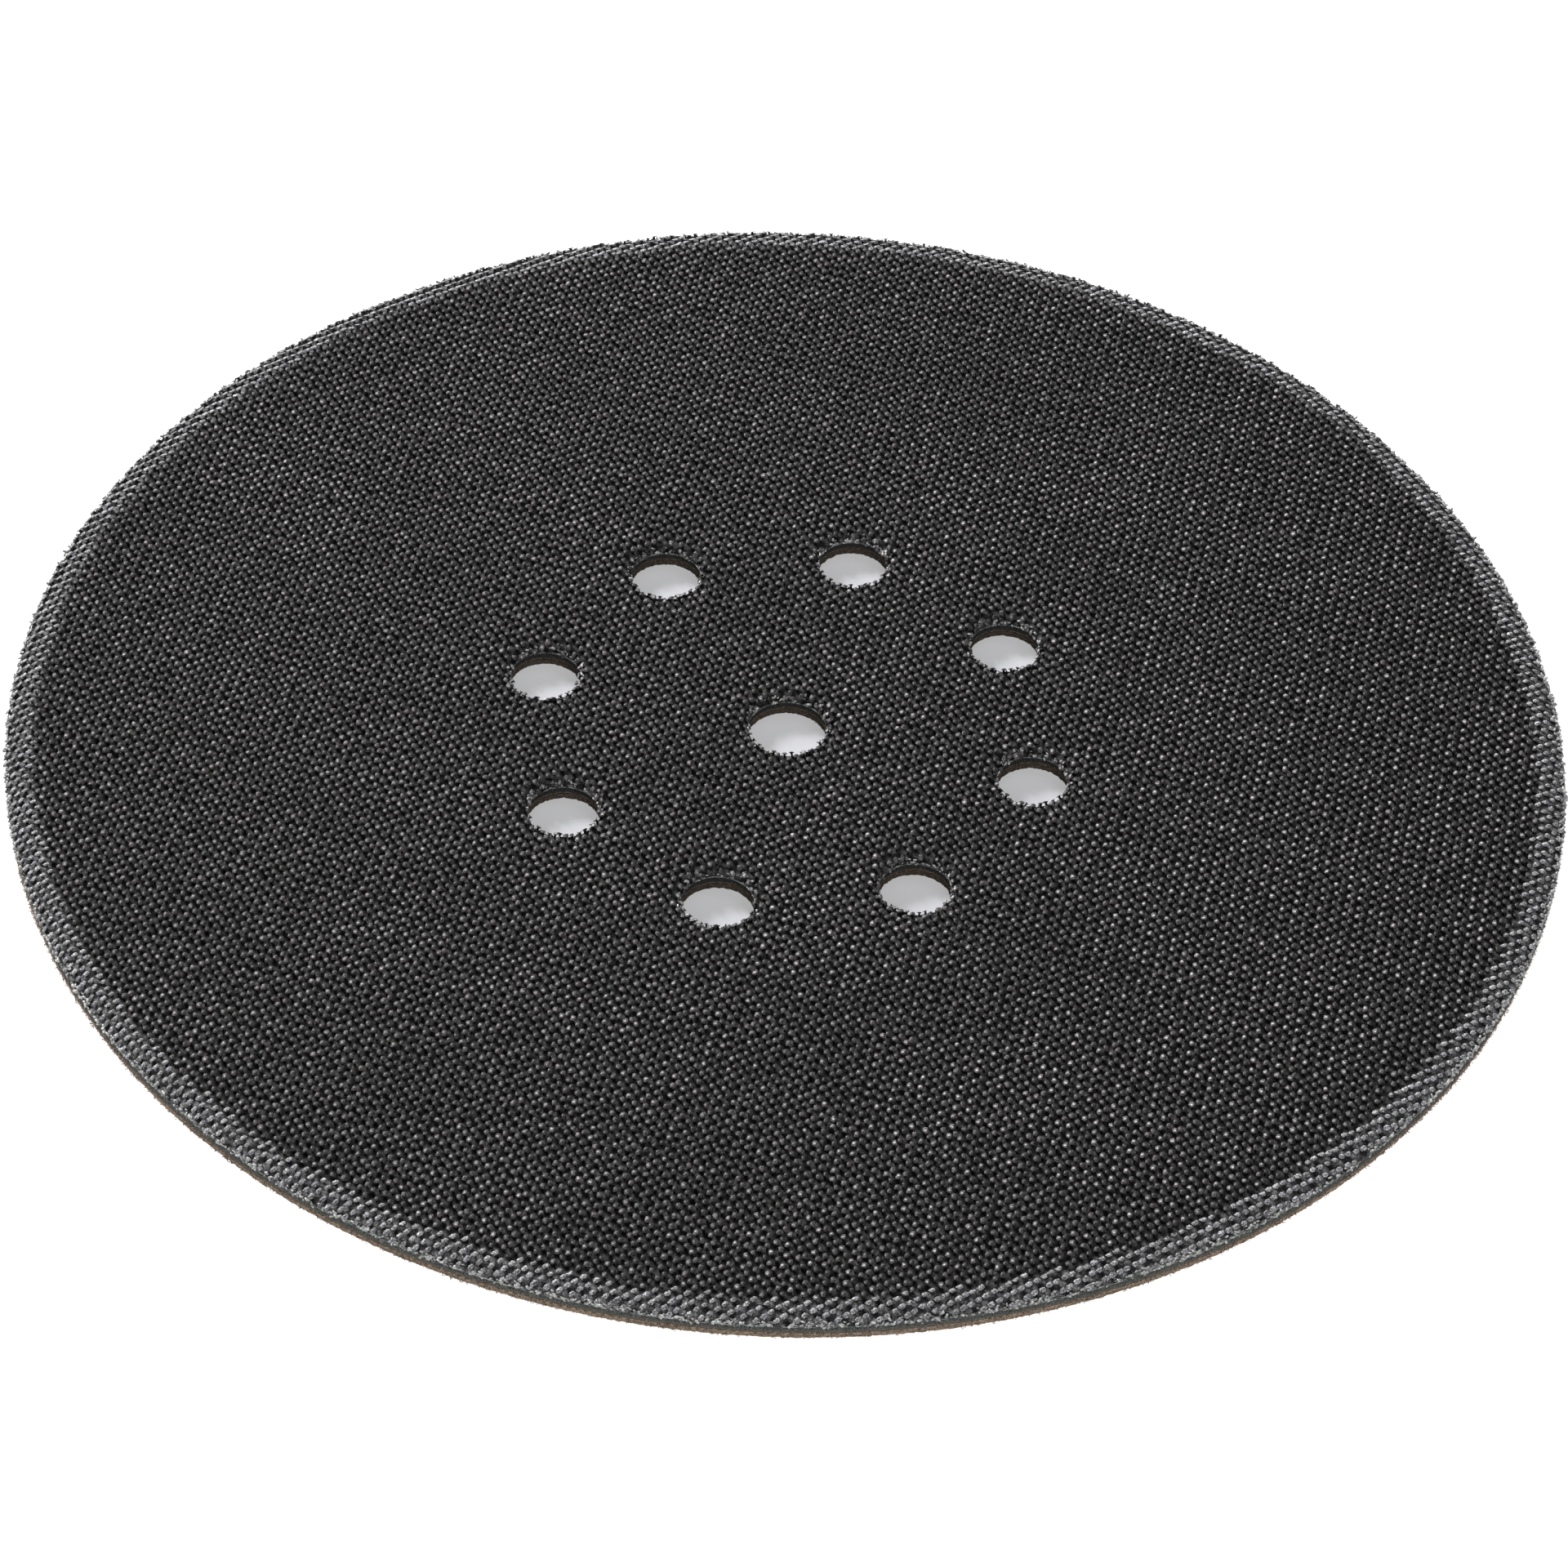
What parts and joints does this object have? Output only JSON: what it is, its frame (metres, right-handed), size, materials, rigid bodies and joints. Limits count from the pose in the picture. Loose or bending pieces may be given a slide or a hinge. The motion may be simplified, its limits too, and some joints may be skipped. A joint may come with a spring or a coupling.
{
  "type": "sander interface pad",
  "caption": "Thin round laminated interface pad with a mushroom-hook face, a foam core, a loop face, a centre hole and a ring of dust holes.",
  "frame": {"origin": "centre of the pad on the plane of the loop face", "axes": "+Z along the pad's axis from the loop face out through the hook face; +X from the centre towards one hole of the ring"},
  "size_m": [0.215, 0.215, 0.004],
  "materials": {
    "loop_velour": "brushed brown velour loops",
    "loop_knit": "fine brown tricot knit",
    "adhesive_film": "translucent hot-melt film",
    "foam": "fine-celled dark grey-green foam",
    "binder_coat": "pale binder coat, broken at the cut edge",
    "hook_cloth": "woven dark grey ground cloth",
    "hooks": "charcoal nylon hooks with glossy heads"
  },
  "bodies": {
    "root": {"loop_pile": "loop_velour", "loop_ground_knit": "loop_knit", "lower_adhesive_film": "adhesive_film", "foam_core": "foam", "upper_adhesive_film": "adhesive_film", "hook_binder_coat": "binder_coat", "hook_ground_cloth": "hook_cloth", "hook_pile": "hooks"}
  },
  "joints": []
}
